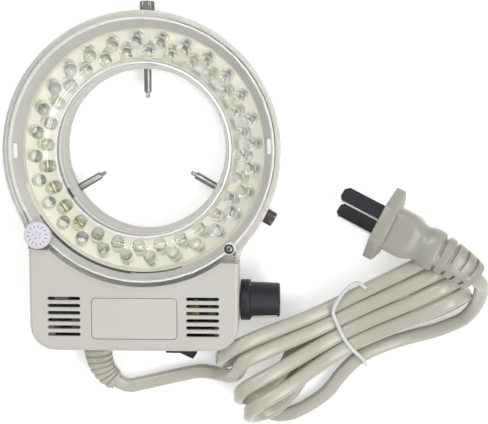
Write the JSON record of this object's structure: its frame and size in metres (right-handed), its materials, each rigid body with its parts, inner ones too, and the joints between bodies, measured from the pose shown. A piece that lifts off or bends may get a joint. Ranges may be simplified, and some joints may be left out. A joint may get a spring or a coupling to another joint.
{
  "type": "microscope ring light",
  "caption": "Ring of clear lamps under a clear cover, with a driver box, dimmer knob, rocker switch, thumbscrews round the bore and a tied mains cord with its plug.",
  "frame": {"origin": "middle of the lamp's extent over the floor, at the flat back of its shell", "axes": "+Z along the bore's axis, from the back to the lamps; -Y from the ring to the control box; +X to the dimmer knob"},
  "size_m": [0.1824, 0.1648, 0.0354],
  "materials": {
    "housing": "fine satin moulding, warm light grey",
    "clear_plastic": "clear polished plastic",
    "carrier": "cream satin plastic",
    "lamp_epoxy": "clear cast lamp bodies",
    "circuit_board": "green solder mask",
    "bright_steel": "bright turned steel",
    "dark_steel": "dark plated steel",
    "black_screw": "black zinc plating",
    "brass": "plain turned brass",
    "black_plastic": "satin black moulding",
    "cord_plastic": "soft grey-beige cord jacket",
    "pale_plastic": "pale plastic",
    "seal_paper": "thin matt paper seal",
    "copper_winding": "enamelled copper winding",
    "ferrite": "dark ferrite",
    "blue_film": "blue dipped film part",
    "red_wire": "red insulation",
    "black_wire": "black insulation"
  },
  "bodies": {
    "lamp_body": {"board_screw_left": "bright_steel", "board_screw_right": "bright_steel", "case_screw_left": "bright_steel", "case_screw_right": "bright_steel", "choke": "copper_winding", "clamp_screw_left": "bright_steel", "clamp_screw_right": "bright_steel", "clear_cover": "clear_plastic", "cord_clamp": "pale_plastic", "cord_hank": "cord_plastic", "cord_inner_end": "cord_plastic", "cord_lead": "cord_plastic", "cord_tail": "cord_plastic", "cover_screw_left": "black_screw", "cover_screw_right": "black_screw", "dimmer_board": "circuit_board", "dimmer_nut": "bright_steel", "dimmer_pot": "bright_steel", "driver_board": "circuit_board", "film_capacitor": "blue_film", "filter_capacitor": "pale_plastic", "front_housing": "housing", "fuse": "bright_steel", "label_plate": "pale_plastic", "lamp_carrier": "carrier", "lamp_row_inner": "lamp_epoxy", "lamp_row_outer": "lamp_epoxy", "lamp_wire_black": "black_wire", "lamp_wire_red": "red_wire", "plug_blade_lower": "dark_steel", "plug_blade_upper": "dark_steel", "plug_body": "cord_plastic", "rear_housing": "housing", "rectifier": "black_plastic", "ring_board": "circuit_board", "rocker_pin": "bright_steel", "seal_sticker": "seal_paper", "strain_relief": "cord_plastic", "switch_frame": "black_plastic", "switch_terminal_left": "brass", "switch_terminal_right": "brass", "thumb_insert_left": "brass", "thumb_insert_right": "brass", "thumb_insert_top": "brass", "transformer_coil": "copper_winding", "transformer_core": "ferrite", "twist_tie": "pale_plastic"},
    "tip_top": {"thumb_tip_top": "bright_steel"},
    "screw_top": {"thumb_pin_top": "bright_steel", "thumb_head_top": "dark_steel"},
    "tip_left": {"thumb_tip_left": "bright_steel"},
    "screw_left": {"thumb_pin_left": "bright_steel", "thumb_head_left": "dark_steel"},
    "tip_right": {"thumb_tip_right": "bright_steel"},
    "screw_right": {"thumb_pin_right": "bright_steel", "thumb_head_right": "dark_steel"},
    "dimmer": {"dimmer_knob": "black_plastic", "knob_pointer": "pale_plastic", "dimmer_shaft": "bright_steel"},
    "rocker": {"switch_rocker": "black_plastic"}
  },
  "joints": [
    {"name": "screw_slide_top", "type": "slide", "parent": "lamp_body", "child": "tip_top", "axis": [0, 1, 0], "range_m": [0, 0.012]},
    {"name": "screw_turn_top", "type": "hinge", "parent": "tip_top", "child": "screw_top", "pos_m": [0, 0.06417, 0.006], "axis": [0, 1, 0], "continuous": true},
    {"name": "screw_slide_left", "type": "slide", "parent": "lamp_body", "child": "tip_left", "axis": [-0.866, -0.5, 0], "range_m": [0, 0.012]},
    {"name": "screw_turn_left", "type": "hinge", "parent": "tip_left", "child": "screw_left", "pos_m": [-0.04503, -0.01383, 0.006], "axis": [-0.866, -0.5, 0], "continuous": true},
    {"name": "screw_slide_right", "type": "slide", "parent": "lamp_body", "child": "tip_right", "axis": [0.866, -0.5, 0], "range_m": [0, 0.012]},
    {"name": "screw_turn_right", "type": "hinge", "parent": "tip_right", "child": "screw_right", "pos_m": [0.04503, -0.01383, 0.006], "axis": [0.866, -0.5, 0], "continuous": true},
    {"name": "dimmer_turn", "type": "hinge", "parent": "lamp_body", "child": "dimmer", "pos_m": [0.0361, -0.04583, 0.0148], "axis": [1, 0, 0], "range_deg": [-60, 240]},
    {"name": "rocker_tilt", "type": "hinge", "parent": "lamp_body", "child": "rocker", "pos_m": [0.0138, -0.06303, 0.015], "axis": [0, 0, 1], "range_deg": [0, 25]}
  ]
}
